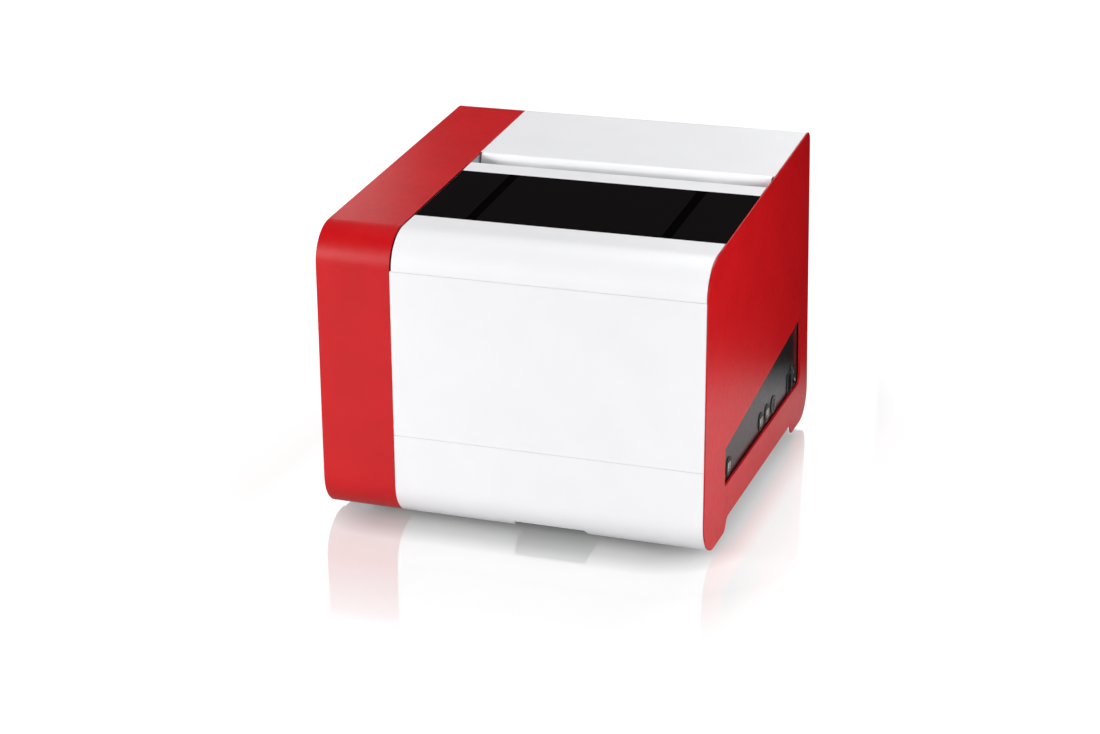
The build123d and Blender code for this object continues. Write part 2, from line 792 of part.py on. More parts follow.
# Mains inlet with its switch beside it in one moulding: flange, housing, three blades and the rocker's cradle
with BuildPart() as mains_inlet:
    screw_centres = [(module_d, connector_h + side * module_screw_pitch / 2) for side in (-1, 1)]
    with BuildSketch(side_plane(plate_x)) as flange:
        with Locations((module_d, connector_h)):
            RectangleRounded(module_length, module_height, 3)
            SlotOverall(module_screw_pitch + 9, 9, rotation=90)
        with Locations(*screw_centres):
            Circle(screw_radius, mode=Mode.SUBTRACT)
    extrude(amount=flange_thickness)
    half_length, half_height = module_length / 2 - 1, module_height / 2 - 1
    block(
        (plate_x - module_depth, plate_x), (module_d - half_length, module_d + half_length),
        (connector_h - half_height, connector_h + half_height),
    )
    with BuildSketch(side_plane(flange_face)) as mouth:
        with BuildLine():
            FilletPolyline(
                (inlet_d - inlet_half_length, connector_h - inlet_half_height),
                (inlet_d + inlet_half_length - inlet_bevel, connector_h - inlet_half_height),
                (inlet_d + inlet_half_length, connector_h - inlet_half_height + inlet_bevel),
                (inlet_d + inlet_half_length, connector_h + inlet_half_height - inlet_bevel),
                (inlet_d + inlet_half_length - inlet_bevel, connector_h + inlet_half_height),
                (inlet_d - inlet_half_length, connector_h + inlet_half_height),
                radius=1, close=True,
            )
        make_face()
    extrude(amount=-inlet_depth, mode=Mode.SUBTRACT)
    with BuildSketch(side_plane(flange_face - inlet_depth)) as blades:
        with Locations((inlet_d - 2, connector_h - 7), (inlet_d - 2, connector_h + 7)):
            Rectangle(4, 2)
        with Locations((inlet_d + 2, connector_h)):
            Rectangle(4, 2)
    extrude(amount=blade_length)
    block(
        (flange_face - 10, flange_face), (switch_d - switch_half_width, switch_d + switch_half_width),
        (connector_h - switch_half_height, connector_h + switch_half_height),
        mode=Mode.SUBTRACT,
    )
    pivot_bore = disc(rocker_plane(pivot_half), (0, 0), pivot_radius + running_fit)
    extrude(pivot_bore, amount=2 * pivot_half, mode=Mode.SUBTRACT)

# Two countersunk screws that hold the inlet
with BuildPart() as inlet_screws:
    for centre in screw_centres:
        with BuildSketch(side_plane(flange_face)) as screw_head:
            with Locations(centre):
                Circle(screw_head_radius)
        extrude(amount=0.3)
        extrude(disc(side_plane(plate_x), centre, screw_radius), amount=flange_thickness)
        with BuildSketch(side_plane(flange_face + 0.3)) as screw_drive:
            with Locations(centre):
                RegularPolygon(1.2, 6)
        extrude(amount=-0.9, mode=Mode.SUBTRACT)

# Rocker that tips in the cradle, shown switched off
with BuildPart() as rocker:
    rocker_outline = [(-2, -4), (5.4, -8.4), (6.8, -8.4), (5.4, 0), (6.8, 8.4), (5.4, 8.4), (-2, 4)]
    extrude(polygon(rocker_plane(rocker_half, switch_angle), rocker_outline), amount=2 * rocker_half)
    pin_half = pivot_half - rocker_gap
    extrude(disc(rocker_plane(pin_half), (0, 0), pivot_radius), amount=2 * pin_half)

# Rack with bores for the array cells
rack_top = deck_top + rack_height
with BuildPart() as cell_rack:
    with BuildSketch(level_plane(deck_top)) as rack_base:
        with Locations((rack_x, rack_d)):
            RectangleRounded(2 * rack_half, 2 * cell_pitch + rack_margin, 6)
    extrude(amount=rack_height)
    fillet(cell_rack.faces().sort_by(Axis.Z)[-1].outer_wire().edges(), 1.5)
    with BuildSketch(level_plane(rack_top)) as rack_bores:
        with Locations((rack_x, rack_d)):
            with GridLocations(cell_pitch, cell_pitch, 3, 2):
                Circle(cell_radius + cell_gap)
    extrude(amount=-bore_depth, mode=Mode.SUBTRACT)

# Array cells in four of the bores: capped sleeves with a collar that rests on the rack
with BuildPart() as array_cells:
    with BuildSketch(level_plane(rack_top - bore_depth)) as sleeves:
        with Locations((rack_x - cell_pitch / 2, rack_d)):
            with GridLocations(cell_pitch, cell_pitch, 2, 2):
                Circle(cell_radius)
    extrude(amount=cell_height)
    fillet(array_cells.edges().group_by(Axis.Z)[-1], 2.5)
    with BuildSketch(level_plane(rack_top)) as collars:
        with Locations((rack_x - cell_pitch / 2, rack_d)):
            with GridLocations(cell_pitch, cell_pitch, 2, 2):
                Circle(cell_radius + 2)
    extrude(amount=2)

# Reagent cartridge with six wells
well_pitch = ((cartridge_width - cartridge_wall) / 2, (cartridge_length - cartridge_wall) / 3)
with BuildPart() as reagent_cartridge:
    with BuildSketch(level_plane(deck_top)) as cartridge_base:
        with Locations((cartridge_x, cartridge_d)):
            RectangleRounded(cartridge_width, cartridge_length, 5)
    extrude(amount=cartridge_height)
    chamfer(reagent_cartridge.faces().sort_by(Axis.Z)[-1].edges(), 1.2)
    with BuildSketch(level_plane(deck_top + cartridge_height)) as wells:
        with Locations((cartridge_x, cartridge_d)):
            with GridLocations(well_pitch[0], well_pitch[1], 2, 3):
                RectangleRounded(well_pitch[0] - cartridge_wall, well_pitch[1] - cartridge_wall, 3)
    extrude(amount=cartridge_floor - cartridge_height, mode=Mode.SUBTRACT)

# Wash station: a cup under the head's rest position
with BuildPart() as wash_station:
    extrude(disc(level_plane(deck_top), (head_x, head_d), 17), amount=cup_height)
    with BuildSketch(level_plane(deck_top)) as cup_flange:
        with Locations((head_x, head_d)):
            RectangleRounded(44, 40, 5)
    extrude(amount=5)
    cup_mouth = disc(level_plane(deck_top + cup_height), (head_x, head_d), 13)
    extrude(cup_mouth, amount=6 - cup_height, mode=Mode.SUBTRACT)

# Hybridisation carousel with six pockets, on a spindle from the motor under the deck
with BuildPart() as carousel:
    spindle = (carousel_x, carousel_d)
    carousel_low = deck_top + carousel_lift
    hub_low = deck_top + hub_lift
    extrude(disc(level_plane(carousel_low), spindle, carousel_radius), amount=carousel_thickness)
    fillet(carousel.edges().group_by(Axis.Z)[-1], 2)
    extrude(disc(level_plane(hub_low), spindle, hub_radius), amount=carousel_lift - hub_lift)
    with BuildSketch(level_plane(carousel_low + carousel_thickness)) as pockets:
        with Locations(spindle):
            with PolarLocations(pocket_ring, 6):
                Circle(cell_radius + cell_gap)
            Circle(spindle_radius + 3)
    extrude(amount=-pocket_depth, mode=Mode.SUBTRACT)
    spindle_bore = disc(level_plane(hub_low), spindle, spindle_radius + running_fit)
    extrude(spindle_bore, amount=carousel_thickness, mode=Mode.SUBTRACT)

with BuildPart() as carousel_motor:
    with BuildSketch(level_plane(deck_h - motor_length)) as motor_body:
        with Locations(spindle):
            RectangleRounded(motor_size, motor_size, 5)
    extrude(amount=motor_length)
    extrude(disc(level_plane(deck_h), spindle, spindle_radius + 6.7), amount=deck_thickness)
    extrude(disc(level_plane(deck_top), spindle, spindle_radius), amount=hub_lift + pocket_depth)

# Optical scanner: housing with cooling fins, and the lens barrel that looks at the carousel's rim
with BuildPart() as scanner_housing:
    scanner_front = carousel_d + carousel_radius + scanner_gap
    scanner_x = (carousel_x - scanner_left, carousel_x + scanner_right)
    scanner_d = (scanner_front, scanner_front + scanner_length)
    block(scanner_x, scanner_d, (deck_top, deck_top + scanner_height))
    fillet(scanner_housing.edges().filter_by(Axis.Z), 4)
    with BuildSketch(level_plane(deck_top + scanner_height)) as fin_slots:
        with Locations((sum(scanner_x) / 2, sum(scanner_d) / 2)):
            with GridLocations(fin_pitch, 0, 11, 1):
                Rectangle(fin_pitch / 2, scanner_length - 12)
    extrude(amount=-fin_depth, mode=Mode.SUBTRACT)

with BuildPart() as objective_lens:
    lens_h = carousel_low + carousel_thickness / 2
    lens_step = scanner_front - lens_length + 10
    barrel_face = disc(upright_plane(scanner_front), (carousel_x, lens_h), lens_radius)
    extrude(barrel_face, amount=scanner_front - lens_step)
    extrude(disc(upright_plane(lens_step), (carousel_x, lens_h), lens_radius - 3), amount=10)
    lens_face = upright_plane(scanner_front - lens_length)
    extrude(disc(lens_face, (carousel_x, lens_h), lens_radius - 5.5), amount=-3, mode=Mode.SUBTRACT)
    chamfer(objective_lens.edges().filter_by(GeomType.CIRCLE).group_by(Axis.Y)[0], 0.8)

# Gantry across the bay: channel beam with the motor's seat and the idler's pin
belt_d = (beam_d - 1.5 - belt_width, beam_d - 1.5)
with BuildPart() as gantry_beam:
    beam_x = (wrap_x, frame_right - plate)
    beam_rear = beam_d + beam_width
    hollow_d = (beam_d + beam_wall, beam_rear)
    hollow_h = (beam_low + beam_wall, beam_high - beam_wall)
    block(beam_x, (beam_d, beam_rear), (beam_low, beam_high))
    block((beam_x[0] + beam_wall, beam_x[1] - beam_wall), hollow_d, hollow_h, mode=Mode.SUBTRACT)
    block((drive_x - motor_size / 2 - 1, drive_x + motor_size / 2 + 1), hollow_d, hollow_h)
    shaft_hole = disc(upright_plane(beam_rear), (drive_x, belt_h), shaft_radius + 1)
    extrude(shaft_hole, amount=beam_width, mode=Mode.SUBTRACT)
    extrude(disc(upright_plane(beam_d), (idler_x, belt_h), shaft_radius), amount=belt_width + 3.5)
    extrude(disc(upright_plane(belt_d[0] - 1.3), (idler_x, belt_h), shaft_radius + 1.5), amount=1)

with BuildPart() as x_rail:
    rail_x = (drive_x - 16, idler_x + 10)
    block(rail_x, (beam_d - rail_width, beam_d), (rail_low, rail_high))
    block(rail_x, (beam_d - 6, beam_d - 3), (rail_high - 2, rail_high), mode=Mode.SUBTRACT)
    block(rail_x, (beam_d - 6, beam_d - 3), (rail_low, rail_low + 2), mode=Mode.SUBTRACT)


def pulley_profile():
    """Half section of a flanged pulley about the vertical axis of a sketch, on its bore's running fit."""
    bore, rim, half = shaft_radius + running_fit, pulley_radius + pulley_flange, belt_width / 2
    return [(bore, half + 1), (rim, half + 1), (rim - 0.5, half), (pulley_radius, half),
            (pulley_radius, -half), (rim - 0.5, -half), (rim, -half - 1), (bore, -half - 1)]


def pulley(x):
    """Section face of a pulley whose axis runs from front to rear at x."""
    centre = (x, front + sum(belt_d) / 2, base + belt_h)
    return polygon(Plane(origin=centre, x_dir=(1, 0, 0), z_dir=(0, 0, 1)), pulley_profile())


with BuildPart() as drive_pulley:
    revolve(pulley(drive_x), axis=Axis((drive_x, front, base + belt_h), (0, 1, 0)))

with BuildPart() as idler_pulley:
    revolve(pulley(idler_x), axis=Axis((idler_x, front, base + belt_h), (0, 1, 0)))

with BuildPart() as drive_belt:
    with BuildSketch(upright_plane(belt_d[1])) as belt_loop:
        with Locations(((drive_x + idler_x) / 2, belt_h)):
            SlotCenterToCenter(idler_x - drive_x, 2 * (pulley_radius + belt_gap + belt_thickness))
            SlotCenterToCenter(idler_x - drive_x, 2 * (pulley_radius + belt_gap), mode=Mode.SUBTRACT)
    extrude(amount=belt_width)

with BuildPart() as belt_motor:
    motor_x = (drive_x - motor_size / 2, drive_x + motor_size / 2)
    block(motor_x, (beam_rear, beam_rear + motor_length), (belt_h - motor_size / 2, belt_h + motor_size / 2))
    fillet(belt_motor.edges().filter_by(Axis.Y), 4)
    motor_shaft = disc(upright_plane(beam_rear), (drive_x, belt_h), shaft_radius)
    extrude(motor_shaft, amount=beam_width + 2.5 + belt_width)

# Head: its bar slides down beside a slider, which runs along the carriage's arm
bar_x = (head_x - head_bar / 2, head_x + head_bar / 2)
slider_x = (bar_x[0] - slide_gap - slider_width, bar_x[0] - slide_gap)
arm_rail_x = (slider_x[0] - slide_gap - 4, slider_x[0] - slide_gap)
carriage_x = arm_rail_x[0] - arm_half
carriage_face = beam_d - rail_width - slide_gap
carriage_front = carriage_face - carriage_thickness
with BuildPart() as x_carriage:
    carriage_span = (carriage_x - carriage_half, carriage_x + carriage_half)
    block(carriage_span, (carriage_front, carriage_face), (rail_low - 6, arm_high + 6))
    fillet(x_carriage.edges().filter_by(Axis.Y), 4)
    block((carriage_x - arm_half, carriage_x + arm_half), (arm_front, carriage_front), (arm_low, arm_high))
    block(arm_rail_x, (arm_front + 4, carriage_front - 4), (arm_low + 5, arm_high - 5))
    belt_under = belt_h - pulley_radius - belt_gap - belt_thickness
    block((carriage_x - 8, carriage_x + 8), (carriage_face, belt_d[1]), (rail_high + 0.8, belt_under - 0.5))

with BuildPart() as y_slider:
    block(slider_x, (head_d - slider_half, head_d + slider_half), (arm_low - 14, arm_high + 6))
    fillet(y_slider.edges().filter_by(Axis.X), 3)

with BuildPart() as z_head:
    block(bar_x, (head_d - 8, head_d + 8), (tip_low + 46, arm_high + 8))
    extrude(disc(level_plane(tip_low + 34), (head_x, head_d), 7), amount=12)
    extrude(disc(level_plane(tip_low + 26), (head_x, head_d), 3), amount=8)

with BuildPart() as pipette_tip:
    with BuildSketch(side_plane(head_x)) as tip_profile:
        with BuildLine():
            Polyline(
                (head_d, tip_low),
                (head_d + 0.8, tip_low),
                (head_d + 4.2, tip_low + 33.7),
                (head_d + 3.1, tip_low + 33.7),
                (head_d + 3.05, tip_low + 25),
                (head_d, tip_low + 24),
                close=True,
            )
        make_face()
    revolve(axis=Axis((head_x, front + head_d, base), (0, 0, 1)))

# Syringe pump behind the cover: drive housing, glass barrel and the plunger that slides in it
syringe_d = pump_d - syringe_reach
barrel_top = deck_top + pump_height - 24
barrel_low = barrel_top - barrel_length
with BuildPart() as syringe_pump:
    pump_side = (pump_x - pump_width / 2, pump_x + pump_width / 2)
    block(pump_side, (pump_d, pump_d + pump_width), (deck_top, deck_top + pump_height))
    fillet(syringe_pump.edges().filter_by(Axis.Z), 3)
    block((pump_x - 12, pump_x + 12), (pump_d - 26, pump_d), (barrel_top + 8, deck_top + pump_height - 4))
    extrude(disc(level_plane(barrel_top), (pump_x, syringe_d), piston_radius + 1), amount=8)

with BuildPart() as syringe_barrel:
    extrude(disc(level_plane(barrel_low), (pump_x, syringe_d), piston_radius + 2), amount=barrel_length)
    bore = disc(level_plane(barrel_low), (pump_x, syringe_d), piston_radius + running_fit)
    extrude(bore, amount=barrel_length - 2, mode=Mode.SUBTRACT)

with BuildPart() as syringe_plunger:
    rod_low = barrel_low - plunger_stroke - 2
    extrude(disc(level_plane(barrel_low + 1), (pump_x, syringe_d), piston_radius), amount=8)
    extrude(disc(level_plane(rod_low), (pump_x, syringe_d), 3), amount=plunger_stroke + 3)
    extrude(disc(level_plane(rod_low - 4), (pump_x, syringe_d), piston_radius + 2), amount=4)
    block((pump_x - 5, pump_x + 5), (syringe_d, pump_d - slide_gap), (rod_low - 4, rod_low))

# Left bay: power supply and main board
with BuildPart() as power_supply:
    supply_x = (left_x + side_thickness + supply_gap, frame_left - supply_gap)
    supply_d, supply_h = (supply_front, supply_rear), (floor_h, floor_h + supply_height)
    block(supply_x, supply_d, supply_h)
    with BuildSketch(side_plane(supply_x[0])) as supply_slots:
        with Locations((sum(supply_d) / 2, sum(supply_h) / 2)):
            with GridLocations(12, 0, 14, 1):
                SlotOverall(60, 5, rotation=90)
    extrude(amount=2, mode=Mode.SUBTRACT)

with BuildPart() as main_board:
    board_x = frame_left - board_gap
    board_face = board_x - board_thickness
    board_d = (board_front, board_front + board_length)
    block((board_face, board_x), board_d, (board_low, board_low + board_length))
    for chip_d, chip_h, chip_size in ((50, 120, 34), (120, 120, 22), (50, 50, 26), (130, 40, 30)):
        half, d, h = chip_size / 2, board_front + chip_d, board_low + chip_h
        block((board_face - chip_thickness, board_face), (d - half, d + half), (h - half, h + half))
    plug_d = (board_front + 6, board_front + 18)
    block((board_face - 10, board_face), plug_d, (board_low + 20, board_low + 80))

# Rear fan: square frame, finger guard outside the panel, and the rotor
with BuildPart() as fan_frame:
    with BuildSketch(rear_plane(fan_h, sheet)) as fan_face:
        with Locations((fan_x, 0)):
            RectangleRounded(fan_size, fan_size, 5)
            Circle(fan_bore, mode=Mode.SUBTRACT)
    extrude(amount=fan_depth)
    with BuildSketch(rear_plane(fan_h, sheet + fan_depth - 5)) as fan_spider:
        with Locations((fan_x, 0)):
            Circle(fan_hub + 1)
            with PolarLocations(26, 4, start_angle=45):
                Rectangle(28, 4)
            Circle(2 + running_fit, mode=Mode.SUBTRACT)
    extrude(amount=5)

with BuildPart() as fan_rotor:
    blade_front, blade_back = sheet + 7, sheet + fan_depth - 7
    blade_root = fan_hub - 2
    blade_middle = (blade_tip + blade_root) / 2
    hub_face = disc(rear_plane(fan_h, blade_front - 1), (fan_x, 0), fan_hub)
    extrude(hub_face, amount=blade_back - blade_front + 1.5)
    extrude(disc(rear_plane(fan_h, blade_front), (fan_x, 0), 2), amount=fan_depth - 8)
    for blade in range(blade_count):
        for depth, twist in ((blade_front, -13), (blade_back, 13)):
            turn = blade * 360 / blade_count + twist
            with BuildSketch(rear_plane(fan_h, depth)) as blade_section:
                with Locations((fan_x, 0)):
                    with PolarLocations(blade_middle, 1, start_angle=turn):
                        Rectangle(blade_tip - blade_root, 1.6)
        loft()

with BuildPart() as fan_guard:
    with BuildSketch(rear_plane(fan_h, 0)) as guard_face:
        with Locations((fan_x, 0)):
            for guard_radius in guard_rings:
                Circle(guard_radius + guard_wire / 2)
                Circle(guard_radius - guard_wire / 2, mode=Mode.SUBTRACT)
            with PolarLocations((guard_rings[0] + guard_rings[-1]) / 2 + 4, 4, start_angle=45):
                Rectangle(36, guard_wire)
            Circle(guard_rings[0] + guard_wire / 2)
    extrude(amount=-2)

pieces = {
    "left_wrap": left_wrap,
    "left_side_panel": left_side_panel,
    "right_side_panel": right_side_panel,
    "front_panel": front_panel,
    "rear_cover": rear_cover,
    "rear_panel": rear_panel,
    "base_tray": base_tray,
    "feet": feet,
    "left_frame_plate": left_frame_plate,
    "right_frame_plate": right_frame_plate,
    "bay_divider": bay_divider,
    "deck_plate": deck_plate,
    "hinge_beam": hinge_beam,
    "hinge_pins": hinge_pins,
    "hood_bumpers": hood_bumpers,
    "hood_frame": hood_frame,
    "hood_glass": hood_glass,
    "hood_arm_left": hood_arm_left,
    "hood_arm_right": hood_arm_right,
    "drawer_front": drawer_front,
    "drawer_tray": drawer_tray,
    "runner_left": runner_left,
    "runner_right": runner_right,
    "drawer_rail_left": drawer_rail_left,
    "drawer_rail_right": drawer_rail_right,
    "waste_bin": waste_bin,
    "connector_plate": connector_plate,
    "data_socket_front": data_socket_front,
    "data_socket_middle": data_socket_middle,
    "data_socket_rear": data_socket_rear,
    "round_socket": round_socket,
    "mains_inlet": mains_inlet,
    "inlet_screws": inlet_screws,
    "rocker": rocker,
    "cell_rack": cell_rack,
    "array_cells": array_cells,
    "reagent_cartridge": reagent_cartridge,
    "wash_station": wash_station,
    "carousel": carousel,
    "carousel_motor": carousel_motor,
    "scanner_housing": scanner_housing,
    "objective_lens": objective_lens,
    "gantry_beam": gantry_beam,
    "x_rail": x_rail,
    "drive_pulley": drive_pulley,
    "idler_pulley": idler_pulley,
    "drive_belt": drive_belt,
    "belt_motor": belt_motor,
    "x_carriage": x_carriage,
    "y_slider": y_slider,
    "z_head": z_head,
    "pipette_tip": pipette_tip,
    "syringe_pump": syringe_pump,
    "syringe_barrel": syringe_barrel,
    "syringe_plunger": syringe_plunger,
    "power_supply": power_supply,
    "main_board": main_board,
    "fan_frame": fan_frame,
    "fan_rotor": fan_rotor,
    "fan_guard": fan_guard,
}
for name, piece in pieces.items():
    piece.part.label = name
    export_step(piece.part, f"parts/{name}.step")
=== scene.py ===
"""Looks of a benchtop microarray analyzer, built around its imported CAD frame. Lengths are in metres."""

import math

import bpy
import numpy as np
from mathutils import Matrix, Vector


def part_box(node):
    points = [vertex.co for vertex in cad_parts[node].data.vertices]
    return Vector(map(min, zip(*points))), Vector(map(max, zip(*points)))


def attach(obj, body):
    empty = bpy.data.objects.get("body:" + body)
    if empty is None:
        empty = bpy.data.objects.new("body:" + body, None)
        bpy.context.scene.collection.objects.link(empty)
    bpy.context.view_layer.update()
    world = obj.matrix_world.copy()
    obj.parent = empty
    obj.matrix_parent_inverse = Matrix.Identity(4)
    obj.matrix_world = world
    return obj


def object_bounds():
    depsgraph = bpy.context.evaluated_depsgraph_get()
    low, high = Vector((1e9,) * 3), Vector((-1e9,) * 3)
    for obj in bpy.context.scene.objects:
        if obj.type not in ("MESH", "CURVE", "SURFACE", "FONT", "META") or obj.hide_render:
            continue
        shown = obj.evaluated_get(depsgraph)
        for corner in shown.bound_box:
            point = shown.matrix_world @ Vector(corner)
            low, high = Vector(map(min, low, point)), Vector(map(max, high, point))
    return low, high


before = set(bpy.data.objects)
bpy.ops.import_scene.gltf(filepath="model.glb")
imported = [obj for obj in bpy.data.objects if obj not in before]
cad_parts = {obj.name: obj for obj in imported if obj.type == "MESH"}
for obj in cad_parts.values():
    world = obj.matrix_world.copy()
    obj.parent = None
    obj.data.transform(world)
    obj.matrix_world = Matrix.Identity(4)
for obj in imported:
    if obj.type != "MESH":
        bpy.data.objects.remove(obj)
cad_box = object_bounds()
scene = bpy.context.scene
scene.view_settings.view_transform = "Standard"

MM = 0.001

# Camera

CAMERA_PLACE = (0.88127, -2.63105, 1.13295)
CAMERA_HEADING = math.radians(19.2448)  # turned left from straight at the front
CAMERA_DOWN = math.radians(19.8135)  # tilted down from level
CAMERA_ROLL = math.radians(-0.2609)
LENS_MM = 75.38
SENSOR_MM = 36.0
PHOTO_WIDTH = 1100
SHIFT_X, SHIFT_Y = -0.8 / PHOTO_WIDTH, 0.7 / PHOTO_WIDTH
CLIP_NEAR, CLIP_FAR = 0.05, 200.0

camera_data = bpy.data.cameras.new("camera")
camera_data.lens = LENS_MM
camera_data.sensor_width = SENSOR_MM
camera_data.shift_x = SHIFT_X
camera_data.shift_y = SHIFT_Y
camera_data.clip_start = CLIP_NEAR
camera_data.clip_end = CLIP_FAR
camera = bpy.data.objects.new("camera", camera_data)
heading = Matrix.Rotation(CAMERA_HEADING, 4, "Z")
tilt = Matrix.Rotation(math.pi / 2 - CAMERA_DOWN, 4, "X")
roll = Matrix.Rotation(CAMERA_ROLL, 4, "Z")
camera.matrix_world = Matrix.Translation(CAMERA_PLACE) @ heading @ tilt @ roll
scene.collection.objects.link(camera)
scene.camera = camera


# Materials. Each pattern has its real size, unless its comment says that it is drawn coarser.

MIX_FACTOR, MIX_FIRST, MIX_SECOND, MIX_RESULT = 0, 6, 7, 2  # the colour sockets of Blender's Mix node
# How much the roughness of a powder coat, a moulding and a ground metal varies, each way
COAT_SHIFT, MOULDED_SHIFT, GROUND_SHIFT = 0.025, 0.05, 0.06
LINE_LENGTH = 30  # times as long as it is wide is a ground line
LINE_COARSER = 4  # times as wide as a real line is one that shows
GLARE = 0.006  # of what plain glass reflects, left by its coating
BOND_EDGE = 0.6 * MM  # width of the soft edge of a bonded strip under the glass


def colour(code):
    """sRGB hex digits as a linear RGBA colour. Each channel c is c/12.92 where dark, and elsewhere
    ((c + 0.055)/1.055)^2.4."""
    channels = [int(code[i : i + 2], 16) / 255 for i in (0, 2, 4)]
    linear = [c / 12.92 if c <= 0.04045 else ((c + 0.055) / 1.055) ** 2.4 for c in channels]
    return (*linear, 1.0)


def add(tree, kind, inputs=None, **settings):
    """Adds one shader node with its settings. An input that is a socket is linked, and others are values."""
    made = tree.nodes.new(kind)
    for name, value in settings.items():
        setattr(made, name, value)
    for name, value in (inputs or {}).items():
        if isinstance(value, bpy.types.NodeSocket):
            tree.links.new(value, made.inputs[name])
        else:
            made.inputs[name].default_value = value
    return made


def blank(name):
    """A new material with its tree, its Principled shader and the piece's own coordinates."""
    material = bpy.data.materials.new(name)
    material.use_nodes = True
    tree = material.node_tree
    tree.nodes.clear()
    shader = add(tree, "ShaderNodeBsdfPrincipled")
    out = add(tree, "ShaderNodeOutputMaterial")
    tree.links.new(shader.outputs["BSDF"], out.inputs["Surface"])
    place = add(tree, "ShaderNodeTexCoord").outputs["Object"]
    return material, tree, shader, place


def grain(tree, place, size, detail=2.0, roughness=0.5):
    """Noise whose features are about size metres across."""
    return add(
        tree,
        "ShaderNodeTexNoise",
        {"Vector": place, "Scale": 1 / size, "Detail": detail, "Roughness": roughness},
    ).outputs["Fac"]


def spread(tree, value, low, high, reach=(0.3, 0.7)):
    """A pattern value turned into a range of numbers."""
    return add(
        tree,
        "ShaderNodeMapRange",
        {"Value": value, "From Min": reach[0], "From Max": reach[1], "To Min": low, "To Max": high},
    ).outputs["Result"]


def two_tone(tree, value, first, second):
    """A pattern value turned into a blend of two colours."""
    mix = add(tree, "ShaderNodeMix", data_type="RGBA")
    tree.links.new(value, mix.inputs[MIX_FACTOR])
    mix.inputs[MIX_FIRST].default_value = colour(first)
    mix.inputs[MIX_SECOND].default_value = colour(second)
    return mix.outputs[MIX_RESULT]


def relief(tree, shader, height, depth, strength=1.0):
    """Bump of a real depth in metres."""
    bump = add(
        tree,
        "ShaderNodeBump",
        {"Height": height, "Distance": depth, "Strength": strength},
    )
    tree.links.new(bump.outputs["Normal"], shader.inputs["Normal"])


def powder_coat(name, first, second, roughness):
    """Polyester powder coat, baked on sheet steel: even colour, a satin sheen and a faint orange peel. The
    peel is 1.6 mm across, as it is on real panels. The coat's thickness shifts its tone over about 60 mm,
    and its sheen over 9 mm."""
    material, tree, shader, place = blank(name)
    drift = grain(tree, place, 60 * MM)
    peel = grain(tree, place, 1.6 * MM, 1.0)
    tree.links.new(two_tone(tree, spread(tree, drift, 0, 1), first, second), shader.inputs["Base Color"])
    sheen = spread(tree, grain(tree, place, 9 * MM), roughness - COAT_SHIFT, roughness + COAT_SHIFT)
    tree.links.new(sheen, shader.inputs["Roughness"])
    relief(tree, shader, peel, 0.012 * MM, 0.5)
    return material


def moulded(name, first, second, roughness, size=0.7, depth=0.02):
    """Injection-moulded plastic or rubber: matt, with the fine spark-eroded texture of its mould. size is how
    far across a grain of it is, and depth how deep, in millimetres. The tone drifts over about 25 mm."""
    material, tree, shader, place = blank(name)
    texture = grain(tree, place, size * MM, 3.0)
    drift = grain(tree, place, 25 * MM)
    tree.links.new(two_tone(tree, spread(tree, drift, 0, 1), first, second), shader.inputs["Base Color"])
    sheen = spread(tree, texture, roughness - MOULDED_SHIFT, roughness + MOULDED_SHIFT)
    tree.links.new(sheen, shader.inputs["Roughness"])
    relief(tree, shader, texture, depth * MM, 0.6)
    return material


def brushed(name, first, second, roughness, along, line=0.25):
    """Metal with the lines of its rolling or grinding. line is a real line's width in millimetres, and they
    are drawn four times as wide, so that they show, with finer ones in them. along is the axis that they
    run in."""
    material, tree, shader, place = blank(name)
    stretch = [1.0, 1.0, 1.0]
    stretch["XYZ".index(along)] = 1 / LINE_LENGTH
    turned = add(tree, "ShaderNodeMapping", {"Vector": place, "Scale": stretch}).outputs["Vector"]
    lines = grain(tree, turned, line * MM * LINE_COARSER, 4.0, 0.7)
    shader.inputs["Metallic"].default_value = 1.0
    tree.links.new(two_tone(tree, spread(tree, lines, 0, 1), first, second), shader.inputs["Base Color"])
    sheen = spread(tree, lines, roughness - GROUND_SHIFT, roughness + GROUND_SHIFT)
    tree.links.new(sheen, shader.inputs["Roughness"])
    relief(tree, shader, lines, 0.004 * MM, 0.5)
    return material


def zinc_sheet(name):
    """Hot-dip zinc on sheet steel: grey metal with flat crystals about 7 mm across, which differ a little in
    tone."""
    material, tree, shader, place = blank(name)
    crystals = add(tree, "ShaderNodeTexVoronoi", {"Vector": place, "Scale": 1 / (7 * MM)})
    tone = add(tree, "ShaderNodeSeparateColor", {"Color": crystals.outputs["Color"]}).outputs["Red"]
    shader.inputs["Metallic"].default_value = 0.35
    tree.links.new(two_tone(tree, tone, "C6CACD", "D2D6D9"), shader.inputs["Base Color"])
    tree.links.new(spread(tree, tone, 0.38, 0.46, (0, 1)), shader.inputs["Roughness"])
    relief(tree, shader, grain(tree, place, 2.5 * MM), 0.01 * MM, 0.4)
    return material


